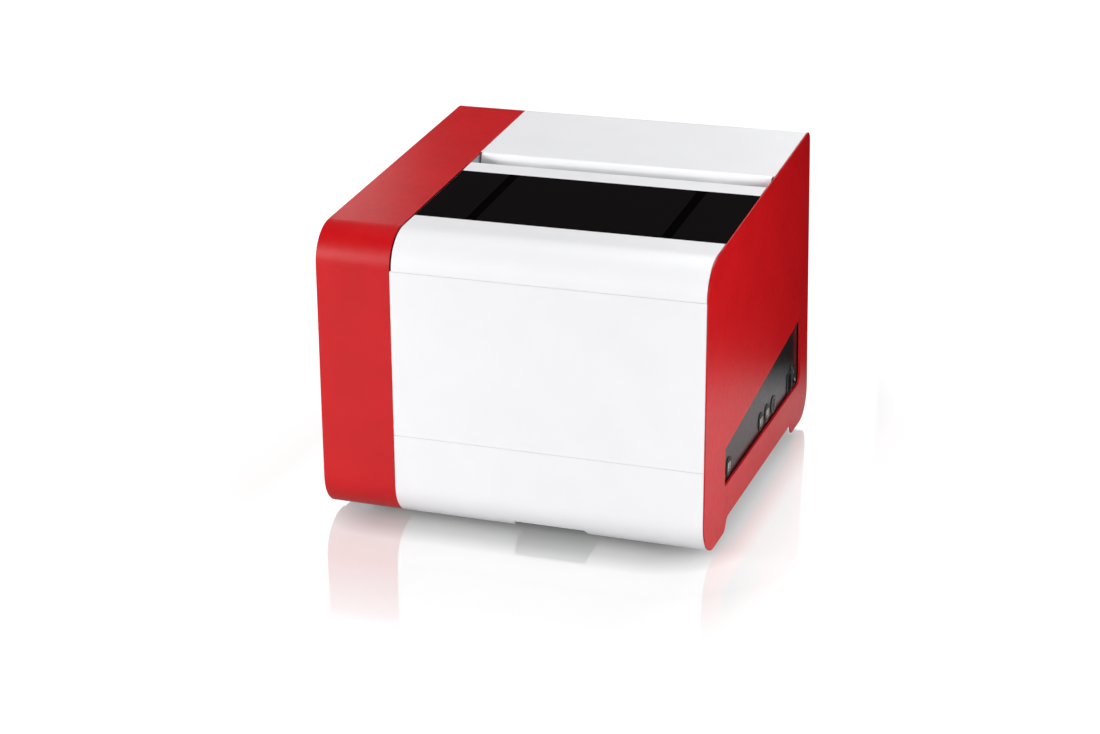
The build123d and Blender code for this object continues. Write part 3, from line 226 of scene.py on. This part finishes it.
RED_COAT = powder_coat("red_powder_coat", "C40A12", "CC0E16", 0.36)
WHITE_COAT = powder_coat("white_powder_coat", "F2F2F4", "F4F4F6", 0.38)
DARK_COAT = powder_coat("dark_grey_powder_coat", "1E1B1D", "232022", 0.22)
ZINC = zinc_sheet("zinc_coated_steel")
STEEL_X = brushed("ground_steel_along_x", "B9BBBD", "D6D8DA", 0.24, "X")
STEEL_Y = brushed("ground_steel_along_y", "B9BBBD", "D6D8DA", 0.24, "Y")
STEEL_Z = brushed("ground_steel_along_z", "B9BBBD", "D6D8DA", 0.24, "Z")
ALUMINIUM = brushed("satin_anodised_aluminium", "A9ACAF", "B8BBBE", 0.38, "X", 0.2)
BLACK_PLASTIC = moulded("black_abs_moulding", "131416", "191A1C", 0.42)
WHITE_PLASTIC = moulded("white_abs_moulding", "E2E2DF", "E8E8E5", 0.4)
GREY_PLASTIC = moulded("grey_abs_moulding", "6E7174", "777A7D", 0.45)
FOOT_RUBBER = moulded("grey_rubber_foot", "8E9092", "999B9D", 0.7, 1.2, 0.03)
BELT_RUBBER = moulded("black_neoprene_belt", "161616", "1D1D1D", 0.75, 0.9, 0.03)


def black_glass(name):
    """Smoked glass in the hood, coated against glare: a smooth dark face, with two blacker strips where the
    hood's arms are bonded under it. The face is opaque; its lighter tone beside the strips is partly its own
    tint and partly painted light, the lit deck seen through the glass. Its polish varies a little over
    70 mm, as wiped glass does, and its flatness over 120 mm."""
    material, tree, shader, place = blank(name)
    across = add(tree, "ShaderNodeSeparateXYZ", {"Vector": place}).outputs["X"]
    strips = 0.0
    for arm in ("hood_arm_left", "hood_arm_right"):
        low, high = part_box(arm)
        middle, half = (low.x + high.x) / 2, (high.x - low.x) / 2
        shifted = add(tree, "ShaderNodeMath", {0: across, 1: middle}, operation="SUBTRACT")
        away = add(tree, "ShaderNodeMath", {0: shifted.outputs[0]}, operation="ABSOLUTE")
        inside = spread(tree, away.outputs[0], 1, 0, (half, half + BOND_EDGE))
        strips = add(tree, "ShaderNodeMath", {0: strips, 1: inside}, operation="MAXIMUM").outputs[0]
    shader.inputs["Specular IOR Level"].default_value = GLARE
    # painted light: the glass is a little lighter beside the strips, for the lit deck seen through it
    tree.links.new(two_tone(tree, strips, "141112", "050405"), shader.inputs["Base Color"])
    tree.links.new(spread(tree, grain(tree, place, 70 * MM), 0.03, 0.07), shader.inputs["Roughness"])
    relief(tree, shader, grain(tree, place, 120 * MM, 0.0), 0.02 * MM, 0.2)
    return material


def clear_plastic(name):
    """Clear polystyrene: see-through, polished by its mould, with faint flow lines 3 mm apart."""
    material, tree, shader, place = blank(name)
    flow = grain(tree, place, 3 * MM)
    shader.inputs["Transmission Weight"].default_value = 0.92
    shader.inputs["IOR"].default_value = 1.5
    tree.links.new(two_tone(tree, flow, "EAF1F3", "F4F8F9"), shader.inputs["Base Color"])
    tree.links.new(spread(tree, flow, 0.04, 0.1), shader.inputs["Roughness"])
    return material


def circuit_board(name):
    """Solder mask over copper tracks: green, with slightly lighter tracks both ways, 2 to 5 mm apart."""
    material, tree, shader, place = blank(name)
    tracks = add(
        tree,
        "ShaderNodeTexBrick",
        {
            "Vector": place,
            "Scale": 1 / (9 * MM),
            "Color1": colour("0C4A2A"),
            "Color2": colour("0F5631"),
            "Mortar": colour("1C7A48"),
            "Mortar Size": 0.03,
        },
    )
    tree.links.new(tracks.outputs["Color"], shader.inputs["Base Color"])
    tree.links.new(spread(tree, grain(tree, place, 4 * MM), 0.25, 0.4), shader.inputs["Roughness"])
    relief(tree, shader, tracks.outputs["Fac"], 0.03 * MM, 0.6)
    return material


GLASS = black_glass("smoked_glass")
CLEAR = clear_plastic("clear_polystyrene")
BOARD = circuit_board("green_solder_mask")

# Which of the CAD's nodes has which finish
FINISHES = {
    RED_COAT: ["left_wrap", "left_side_panel", "right_side_panel"],
    WHITE_COAT: ["front_panel", "rear_cover", "rear_panel", "hood_frame", "drawer_front"],
    DARK_COAT: ["connector_plate"],
    GLASS: ["hood_glass"],
    ZINC: [
        "base_tray",
        "left_frame_plate",
        "right_frame_plate",
        "bay_divider",
        "deck_plate",
        "hinge_beam",
        "drawer_tray",
        "runner_left",
        "runner_right",
        "drawer_rail_left",
        "drawer_rail_right",
    ],
    STEEL_X: ["x_rail", "hinge_pins", "inlet_screws"],
    STEEL_Y: ["fan_guard"],
    ALUMINIUM: [
        "hood_arm_left",
        "hood_arm_right",
        "gantry_beam",
        "x_carriage",
        "y_slider",
        "z_head",
        "carousel",
        "drive_pulley",
        "idler_pulley",
        "power_supply",
    ],
    BLACK_PLASTIC: [
        "data_socket_front",
        "data_socket_middle",
        "data_socket_rear",
        "round_socket",
        "mains_inlet",
        "rocker",
        "fan_frame",
        "fan_rotor",
        "belt_motor",
        "carousel_motor",
        "objective_lens",
        "scanner_housing",
    ],
    WHITE_PLASTIC: [
        "cell_rack",
        "array_cells",
        "reagent_cartridge",
        "wash_station",
        "syringe_pump",
        "syringe_plunger",
        "pipette_tip",
    ],
    GREY_PLASTIC: ["waste_bin"],
    CLEAR: ["syringe_barrel"],
    BOARD: ["main_board"],
    FOOT_RUBBER: ["feet"],
    BELT_RUBBER: ["drive_belt", "hood_bumpers"],
}
for material, names in FINISHES.items():
    for name in names:
        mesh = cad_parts[name].data
        mesh.materials.clear()
        mesh.materials.append(material)


# Small fittings: metal in the sockets, marks on the switch, and screws. Their sizes are in millimetres.


def round_outline(count):
    """A unit circle of count points."""
    turn = np.arange(count) * 2 * np.pi / count
    return np.stack([np.cos(turn), np.sin(turn)], axis=1)


def square_outline(count, power=8.0):
    """A unit square with rounded corners: a superellipse, where |a|^power + |b|^power = 1."""
    ring = round_outline(count)
    return ring / (np.abs(ring) ** power).sum(axis=1, keepdims=True) ** (1 / power)


def rings_about_x(place, stations, outline):
    """Rings of one outline about a line along X through a place. A station gives how far along the line its
    ring lies, and the ring's half sizes on Y and Z."""
    rows = np.array(stations, float)
    rings = np.empty((len(rows), len(outline), 3))
    rings[:, :, 0] = rows[:, :1]
    rings[:, :, 1] = rows[:, 1:2] * outline[None, :, 0]
    rings[:, :, 2] = rows[:, 2:3] * outline[None, :, 1]
    return (rings + np.array(place, float)) * MM


def tube(back, front, half_y, half_z, wall):
    """Stations of a tube along X: forwards on its outside, then back on its inside."""
    inner_y, inner_z = half_y - wall, half_z - wall
    outside = [(back, half_y, half_z), (front, half_y, half_z)]
    return outside + [(front, inner_y, inner_z), (back, inner_y, inner_z)]


SHARP_EDGE = math.radians(35)  # faces that meet at a larger angle meet in an edge


def fitting(name, skins, finish, body, hollow=False):
    """One piece from several skins. Point k of a skin's ring i joins point k + 1 and the same two of ring
    i + 1. The first and last rings are closed by caps, or joined to each other where the piece is hollow."""
    points, faces, start = [], [], 0
    for rings in skins:
        count, around = rings.shape[:2]
        rows = count if hollow else count - 1
        i, k = np.meshgrid(np.arange(rows), np.arange(around), indexing="ij")
        up, after = (i + 1) % count, (k + 1) % around
        corners = [i * around + k, i * around + after, up * around + after, up * around + k]
        faces += (np.stack(corners, axis=-1).reshape(-1, 4) + start).tolist()
        if not hollow:
            faces.append((np.arange(around)[::-1] + start).tolist())
            faces.append((np.arange(around) + (count - 1) * around + start).tolist())
        points.append(rings.reshape(-1, 3))
        start += count * around
    mesh = bpy.data.meshes.new(name)
    mesh.from_pydata(np.concatenate(points).tolist(), [], faces)
    mesh.polygons.foreach_set("use_smooth", [True] * len(mesh.polygons))
    mesh.set_sharp_from_angle(angle=SHARP_EDGE)
    mesh.materials.append(finish)
    piece = bpy.data.objects.new(name, mesh)
    scene.collection.objects.link(piece)
    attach(piece, body)


NICKEL = brushed("nickel_plated_shell", "D4D3CE", "E6E5E0", 0.2, "X")
GOLD = brushed("gold_plated_contact", "D9B45F", "E6C678", 0.22, "X")
TONGUE_NYLON = moulded("white_nylon_tongue", "F4F4F2", "F8F8F6", 0.3)
MARK = moulded("white_switch_mark", "ECECEC", "F4F4F4", 0.45)


def mouth_of(node):
    """The middle of the outer face of a node in the recess, in millimetres."""
    low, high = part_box(node)
    return np.array([high.x, (low.y + high.y) / 2, (low.z + high.z) / 2]) / MM


# Data sockets: a nickel shell lines each square mouth, with an upright tongue and four gold contacts in it.
# The stations of what is in a socket are measured from the socket's outer face, and inwards is negative.
SHELL_WALL = 0.6
SHELL_BACK, SHELL_LIP = -11.8, 0.5
SHELL_HALF_Y, SHELL_HALF_Z = 6.3, 5.8
TONGUE_HALF_Y, TONGUE_HALF_Z = 2.2, 4.3
TONGUE_ROUND = 0.4
TONGUE = (
    (-11.9, TONGUE_HALF_Y, TONGUE_HALF_Z),
    (-1.2, TONGUE_HALF_Y, TONGUE_HALF_Z),
    (-0.7, TONGUE_HALF_Y - TONGUE_ROUND, TONGUE_HALF_Z - TONGUE_ROUND),
)
CONTACT = ((-11.0, 0.3, 0.45), (-2.0, 0.3, 0.45), (-1.5, 0.1, 0.4))
CONTACT_RISES = (-3.0, -1.0, 1.0, 3.0)
lining = tube(SHELL_BACK, SHELL_LIP, SHELL_HALF_Y, SHELL_HALF_Z, SHELL_WALL)
shells, tongues, contacts = [], [], []
for socket in ("data_socket_front", "data_socket_middle", "data_socket_rear"):
    mouth = mouth_of(socket)
    shells.append(rings_about_x(mouth, lining, square_outline(40, 10.0)))
    tongues.append(rings_about_x(mouth, TONGUE, square_outline(24, 12.0)))
    for rise in CONTACT_RISES:
        contacts.append(rings_about_x(mouth + (0, -TONGUE_HALF_Y, rise), CONTACT, square_outline(12)))
fitting("socket_shells", shells, NICKEL, "housing", hollow=True)
fitting("socket_tongues", tongues, TONGUE_NYLON, "housing")
fitting("socket_contacts", contacts, GOLD, "housing")

# Round socket: a nickel shield round five pins with domed tips
SHIELD_BACK, SHIELD_LIP = -9.8, 0.3
SHIELD_RADIUS = 8.9
PIN = ((-9.9, 1.15, 1.15), (-2.6, 1.15, 1.15), (-2.1, 0.9, 0.9), (-1.9, 0.4, 0.4))
PIN_COUNT, PIN_CIRCLE = 5, 4.5
mouth = mouth_of("round_socket")
shield = tube(SHIELD_BACK, SHIELD_LIP, SHIELD_RADIUS, SHIELD_RADIUS, SHELL_WALL)
shield_skin = rings_about_x(mouth, shield, round_outline(40))
fitting("round_socket_shield", [shield_skin], NICKEL, "housing", hollow=True)
pins = []
for number in range(PIN_COUNT):
    turn = math.radians(90 + 360 / PIN_COUNT * number)
    off_middle = (0, PIN_CIRCLE * math.cos(turn), PIN_CIRCLE * math.sin(turn))
    pins.append(rings_about_x(mouth + off_middle, PIN, round_outline(16)))
fitting("round_socket_pins", pins, NICKEL, "housing")

# Mains inlet: three nickel blades over the moulded cores
INLET_OFF_Y = -10  # from the middle of the module, which also holds the switch
BLADE = ((-16.9, 2.1, 1.1), (-5.6, 2.1, 1.1), (-4.9, 1.7, 0.7))
BLADE_PLACES = ((-2, -7), (-2, 7), (2, 0))
mouth = mouth_of("mains_inlet") + (0, INLET_OFF_Y, 0)
blades = []
for off_y, off_z in BLADE_PLACES:
    blades.append(rings_about_x(mouth + (0, off_y, off_z), BLADE, square_outline(24, 12.0)))
fitting("inlet_blades", blades, NICKEL, "housing")


def seated(node, origin, towards):
    """Where a straight line from an origin first meets a CAD node, and the outward direction there."""
    _, place, normal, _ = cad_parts[node].ray_cast(Vector(origin), Vector(towards))
    return place, normal


def laid(rings, place, normal):
    """Rings made about X at the origin, turned so that X is a face's outward direction, and moved to a place
    on it."""
    outward = np.array(normal)
    level = np.array((0.0, 1.0, 0.0))
    return rings @ np.stack([outward, level, np.cross(outward, level)]) + np.array(place)


# Switch marks: a bar on the rocker's upper face for on, and a ring on the lower one for off
MARK_OFF_MIDDLE = 5.0
MARK_UNDER, MARK_OVER = -0.3, 0.1  # how far the paint reaches below and above the rocker's face
BAR_HALF_Y, BAR_HALF_Z = 0.45, 1.9
RING_RADIUS, RING_LINE = 2.0, 0.65
BESIDE_X = 1.0  # metres, well outside the right end, from where the rocker's face is looked for
rocker_low, rocker_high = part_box("rocker")
rocker_middle = (rocker_low + rocker_high) / 2
bar = [(MARK_UNDER, BAR_HALF_Y, BAR_HALF_Z), (MARK_OVER, BAR_HALF_Y, BAR_HALF_Z)]
ring = tube(MARK_UNDER, MARK_OVER, RING_RADIUS, RING_RADIUS, RING_LINE)
for name, rise, stations, outline, hollow in (
    ("switch_mark_on", MARK_OFF_MIDDLE * MM, bar, square_outline(16, 12.0), False),
    ("switch_mark_off", -MARK_OFF_MIDDLE * MM, ring, round_outline(28), True),
):
    seat = seated("rocker", (BESIDE_X, rocker_middle.y, rocker_middle.z + rise), (-1, 0, 0))
    mark = laid(rings_about_x((0, 0, 0), stations, outline), *seat)
    fitting(name, [mark], MARK, "rocker", hollow)


SCREW_POINTS = 32


def screw_skin(place, normal, radius):
    """A pan-head screw with a cross recess. The head is a profile of rings turned about the normal, each with
    its height and size as shares of the radius. The recess is rings whose size goes in and out four times a
    turn, as 0.62 + 0.38 cos(4 turn), and which step down into the head."""
    turn = np.arange(SCREW_POINTS) * 2 * np.pi / SCREW_POINTS
    cross = 0.62 + 0.38 * np.cos(4 * turn)
    plain = np.ones(SCREW_POINTS)
    head = ((-0.1, 1.0), (0.15, 1.0), (0.4, 0.9), (0.55, 0.72), (0.6, 0.5))
    recess = ((0.6, 0.45), (0.2, 0.4))
    heights = np.array([height for height, _ in head + recess])
    reach = np.array([size * plain for _, size in head] + [size * cross for _, size in recess])
    side = normal.orthogonal().normalized()
    across = normal.cross(side)
    round_about = np.outer(np.cos(turn), side) + np.outer(np.sin(turn), across)
    rings = reach[:, :, None] * round_about[None] + heights[:, None, None] * np.array(normal)
    return np.array(place) + radius * MM * rings


# Screws that hold the deck to its beams, and how far in from its edges they stand
DECK_SCREW_RADIUS = 3.0
LEFT_INSET, RIGHT_INSET = 12 * MM, 14 * MM
FRONT_INSET, REAR_INSET = 12 * MM, 60 * MM
OVER_DECK = 10 * MM  # from where the deck's face is looked for
deck_low, deck_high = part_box("deck_plate")
columns = (deck_low.x + LEFT_INSET, (deck_low.x + deck_high.x) / 2, deck_high.x - RIGHT_INSET)
rows = (deck_low.y + FRONT_INSET, deck_high.y - REAR_INSET)
deck_screws = []
for x in columns:
    for y in rows:
        seat = seated("deck_plate", (x, y, deck_high.z + OVER_DECK), (0, 0, -1))
        deck_screws.append(screw_skin(*seat, DECK_SCREW_RADIUS))
fitting("deck_screws", deck_screws, STEEL_Z, "housing")


# Floor, cards, world and lamps. Their sizes are in metres.

PAINTED_POOL_CENTRE = (0.0, -0.6, 0.0)  # the middle of the pool of light painted on the table, in front of the object
PAINTED_POOL_NEAR, PAINTED_POOL_FAR = 0.98, 1.12  # from its centre, where the painted pool of light starts and ends to turn dim
PAINTED_POOL_LIT, PAINTED_POOL_DIM = "C8C8C9", "1C1C1C"  # painted light: the table's colour inside the painted pool and outside it, which lights the object
TABLE_SEEN = "8A8A8A"  # what the camera sees of its colour, under the glow
UNDER = 0.08  # the painted shade under the object, and the fade of the table's mirror, start this far inside its edge
MIRROR = 0.4  # share of light mirrored beside the object
MIRROR_NEAR, MIRROR_FAR = 0.08, 0.44  # where that share starts and ends to fade
SIDE_FADE = 2.2  # times as fast to the sides
# How white the table glows to the camera, by distance from the painted shade under the object: close by,
# and farther off. The brighter of the two counts. Where it glows less near the object, that is painted shade.
PAINTED_SHADE_GLOW = (
    (0.0, 0.0),
    (0.04, 0.36),
    (0.08, 0.58),
    (0.12, 0.9),
    (0.15, 0.84),
    (0.18, 0.77),
    (0.26, 0.78),
    (0.42, 0.86),
)
FAR_PAINTED_SHADE_GLOW = ((0.0, 0.0), (0.26, 0.6), (0.33, 0.87), (0.42, 0.99), (0.5, 1.0))


def ramp(tree, value, stops):
    """A value from 0 to 1 turned into another by straight lines between stops."""
    node = add(tree, "ShaderNodeValToRGB", {"Fac": value})
    for number, (at, level) in enumerate(stops):
        if number > 1:
            node.color_ramp.elements.new(at)
        node.color_ramp.elements[number].position = at
        node.color_ramp.elements[number].color = (level, level, level, 1)
    return node.outputs["Color"]


def beside_object(tree, place, side):
    """Distance on the table from the rectangle that the object stands in: the length of what the place's
    distance from the middle has over half of the rectangle, each way. Distance to the sides counts side
    times."""
    low, high = (Vector(corner) for corner in cad_box)
    middle, half = (low + high) / 2, (high - low) / 2
    centre = (middle.x, middle.y, 0)
    off_centre = add(tree, "ShaderNodeVectorMath", {0: place, 1: centre}, operation="SUBTRACT")
    folded = add(tree, "ShaderNodeVectorMath", {0: off_centre.outputs[0]}, operation="ABSOLUTE")
    reach = (half.x - UNDER, half.y - UNDER, 1)
    past = add(tree, "ShaderNodeVectorMath", {0: folded.outputs[0], 1: reach}, operation="SUBTRACT")
    outside = add(tree, "ShaderNodeVectorMath", {0: past.outputs[0], 1: (0, 0, 0)}, operation="MAXIMUM")
    weights = (side, 1, 1)
    counted = add(tree, "ShaderNodeVectorMath", {0: outside.outputs[0], 1: weights}, operation="MULTIPLY")
    return add(tree, "ShaderNodeVectorMath", {0: counted.outputs[0]}, operation="LENGTH").outputs["Value"]


def table_finish():
    """White acrylic table top, polished: it mirrors what stands on it, and the image fades within half a
    metre. Its polish varies a little over 400 mm. A pool of light is painted into its colour in front of the
    object, and outside the pool it is painted dim, for all but the camera. Seen straight, it turns to plain
    white away from the object; it keeps the object's shadow, and painted shade darkens it under and round
    the object."""
    material, tree, shader, place = blank("white_acrylic_table_with_painted_light")
    out = shader.outputs["BSDF"].links[0].to_node
    seen = add(tree, "ShaderNodeLightPath").outputs["Is Camera Ray"]
    # Painted light: a lit pool is painted into the table's colour in front of the object, dim outside it; the
    # camera sees another colour.
    off_painted_pool = add(tree, "ShaderNodeVectorMath", {0: place, 1: PAINTED_POOL_CENTRE}, operation="SUBTRACT").outputs[0]
    from_painted_pool = add(tree, "ShaderNodeVectorMath", {0: off_painted_pool}, operation="LENGTH").outputs["Value"]
    lit = two_tone(tree, spread(tree, from_painted_pool, 0, 1, (PAINTED_POOL_NEAR, PAINTED_POOL_FAR)), PAINTED_POOL_LIT, PAINTED_POOL_DIM)
    tone = add(tree, "ShaderNodeMix", data_type="RGBA")
    tree.links.new(seen, tone.inputs[MIX_FACTOR])
    tree.links.new(lit, tone.inputs[MIX_FIRST])
    tone.inputs[MIX_SECOND].default_value = colour(TABLE_SEEN)
    tree.links.new(tone.outputs[MIX_RESULT], shader.inputs["Base Color"])
    shader.inputs["Roughness"].default_value = 0.5
    shader.inputs["Specular IOR Level"].default_value = 0.0
    away = beside_object(tree, place, 1)
    # Painted shade: the camera's glow is darkest under the object's edge, and a fainter band of it lies 0.15
    # to 0.3 m away.
    near, far = ramp(tree, away, PAINTED_SHADE_GLOW), ramp(tree, away, FAR_PAINTED_SHADE_GLOW)
    white = add(tree, "ShaderNodeMath", {0: near, 1: far}, operation="MAXIMUM").outputs[0]
    glow = add(tree, "ShaderNodeMath", {0: seen, 1: white}, operation="MULTIPLY").outputs[0]
    shader.inputs["Emission Color"].default_value = (1, 1, 1, 1)
    tree.links.new(glow, shader.inputs["Emission Strength"])
    mirror = add(tree, "ShaderNodeBsdfAnisotropic", {"Color": colour("FAFAFB")})
    tree.links.new(spread(tree, grain(tree, place, 400 * MM), 0.05, 0.08), mirror.inputs["Roughness"])
    fading = spread(tree, beside_object(tree, place, SIDE_FADE), MIRROR, 0, (MIRROR_NEAR, MIRROR_FAR))
    share = add(tree, "ShaderNodeMath", {0: seen, 1: fading}, operation="MULTIPLY").outputs[0]
    parts = {0: share, 1: shader.outputs["BSDF"], 2: mirror.outputs["BSDF"]}
    polished = add(tree, "ShaderNodeMixShader", parts)
    tree.links.new(polished.outputs["Shader"], out.inputs["Surface"])
    return material


def sheet_of(name, corners, material):
    """A flat four-cornered piece of the stage."""
    mesh = bpy.data.meshes.new(name)
    mesh.from_pydata(corners, [], [(0, 1, 2, 3)])
    mesh.materials.append(material)
    piece = bpy.data.objects.new(name, mesh)
    scene.collection.objects.link(piece)
    return piece


def card_finish():
    """White backdrop card, lit evenly from behind: its fibres show as a weak mottle 40 mm across."""
    material, tree, shader, place = blank("white_backdrop_card")
    mottle = grain(tree, place, 40 * MM)
    tree.links.new(two_tone(tree, mottle, "F4F4F4", "FAFAFA"), shader.inputs["Base Color"])
    shader.inputs["Roughness"].default_value = 0.9
    shader.inputs["Emission Color"].default_value = (1, 1, 1, 1)
    shader.inputs["Emission Strength"].default_value = 1.0
    return material


FLOOR_HALF = 40.0
# Cards behind the object, hidden from the camera, and seen in its own and the table's gloss: left edge, right
# edge and top
CARD_Y = 1.15
CARDS = {"backdrop_left": (-2.2, -0.8, 1.05), "backdrop_right": (-0.05, 0.17, 0.75)}
sheet_of(
    "floor",
    [(x * FLOOR_HALF, y * FLOOR_HALF, 0) for x, y in ((-1, -1), (1, -1), (1, 1), (-1, 1))],
    table_finish(),
)
CARD = card_finish()
for name, (left, right, top) in CARDS.items():
    corners = [(left, CARD_Y, 0), (right, CARD_Y, 0), (right, CARD_Y, top), (left, CARD_Y, top)]
    sheet_of(name, corners, CARD).visible_camera = False

# The room: white walls on the camera's side up to about 20 degrees above the table, dim behind and overhead
ROOM = ((0.0, 1.0), (0.33, 1.0), (0.5, 0.3), (0.62, 0.02))  # height of the direction, brightness
BEHIND = 0.05  # brightness left behind the object
world = bpy.data.worlds.new("studio")
scene.world = world
world.use_nodes = True
sky = world.node_tree
sky.nodes.clear()
direction = add(sky, "ShaderNodeTexCoord").outputs["Generated"]
split = add(sky, "ShaderNodeSeparateXYZ", {"Vector": direction})
wall = ramp(sky, split.outputs["Z"], ROOM)
side = spread(sky, split.outputs["Y"], 1.0, BEHIND, (-0.2, 0.2))
room = add(sky, "ShaderNodeMath", {0: wall, 1: side}, operation="MULTIPLY").outputs[0]
camera_ray = add(sky, "ShaderNodeLightPath").outputs["Is Camera Ray"]
strength = add(sky, "ShaderNodeMath", {0: room, 1: camera_ray}, operation="MAXIMUM").outputs[0]
background = add(sky, "ShaderNodeBackground", {"Strength": strength})
background.inputs["Color"].default_value = (1, 1, 1, 1)
sky_out = add(sky, "ShaderNodeOutputWorld")
sky.links.new(background.outputs["Background"], sky_out.inputs["Surface"])


def softbox(name, place, aim, width, height, power):
    """A soft lamp of a width and height in metres at a place, facing an aim point."""
    data = bpy.data.lights.new(name, "AREA")
    data.shape = "RECTANGLE"
    data.size = width
    data.size_y = height
    data.energy = power
    lamp = bpy.data.objects.new(name, data)
    way = (Vector(place) - Vector(aim)).normalized()
    lamp.matrix_world = Matrix.Translation(place) @ way.to_track_quat("Z", "Y").to_matrix().to_4x4()
    scene.collection.objects.link(lamp)


# Each lamp's name, place, aim point, width and height, and power in watts
softbox("key_softbox", (1.1, -0.45, 0.5), (0.2, -0.05, 0.2), 0.5, 0.5, 7.6)
softbox("fill_softbox", (-2.0, -1.6, 0.8), (0.0, 0.0, 0.2), 1.0, 0.7, 51)
softbox("top_softbox", (0.2, 1.2, 2.2), (0.0, 0.0, 0.35), 1.0, 1.0, 22)
softbox("overhead_softbox", (0.1, 0.2, 2.2), (0.0, 0.0, 0.2), 0.8, 0.8, 9)
